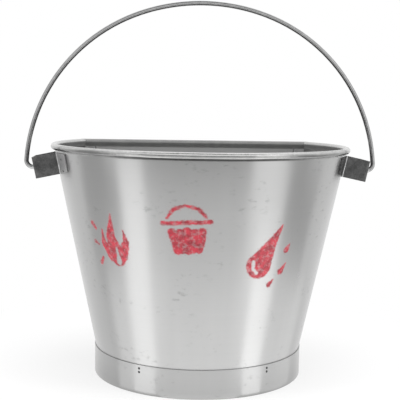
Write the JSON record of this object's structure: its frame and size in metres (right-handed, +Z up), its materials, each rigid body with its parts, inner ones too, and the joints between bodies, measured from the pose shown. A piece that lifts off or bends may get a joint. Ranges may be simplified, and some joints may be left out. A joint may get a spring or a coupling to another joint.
{
  "type": "fire bucket",
  "caption": "Flat-backed steel fire bucket with a D-shaped mouth, rolled rim, foot ring and a wire bail that swings in two bent-sheet ears.",
  "frame": {"origin": "middle of the object's footprint, on the surface that it stands on", "axes": "+Z up along the bail's rise, +Y towards the flat back, X along the bail's axis"},
  "size_m": [0.3486, 0.236, 0.3722],
  "materials": {
    "sheet": "brushed along the sheet, lightly scuffed",
    "rim_wire": "plain drawn wire, hidden in the roll",
    "ear_sheet": "darker mill-finish sheet",
    "bail_wire": "drawn wire, worn smooth",
    "sealant": "dull grey fillet",
    "weld": "darkened spots with a shallow dimple"
  },
  "bodies": {
    "bucket": {"front_wall": "sheet", "back_panel": "sheet", "rim_wire_front": "rim_wire", "rim_wire_back": "rim_wire", "bottom_pan": "sheet", "bottom_seal": "sealant", "corner_seal_left": "sealant", "corner_seal_right": "sealant", "foot_ring": "sheet", "ear_left": "ear_sheet", "ear_right": "ear_sheet", "seam_welds": "weld", "ear_welds": "weld", "foot_welds": "weld"},
    "bail": {"bail": "bail_wire"}
  },
  "joints": [
    {"name": "bail_hinge", "type": "hinge", "parent": "bucket", "child": "bail", "pos_m": [0, 0.01, 0.20863], "axis": [1, 0, 0], "range_deg": [-131, 142]}
  ]
}
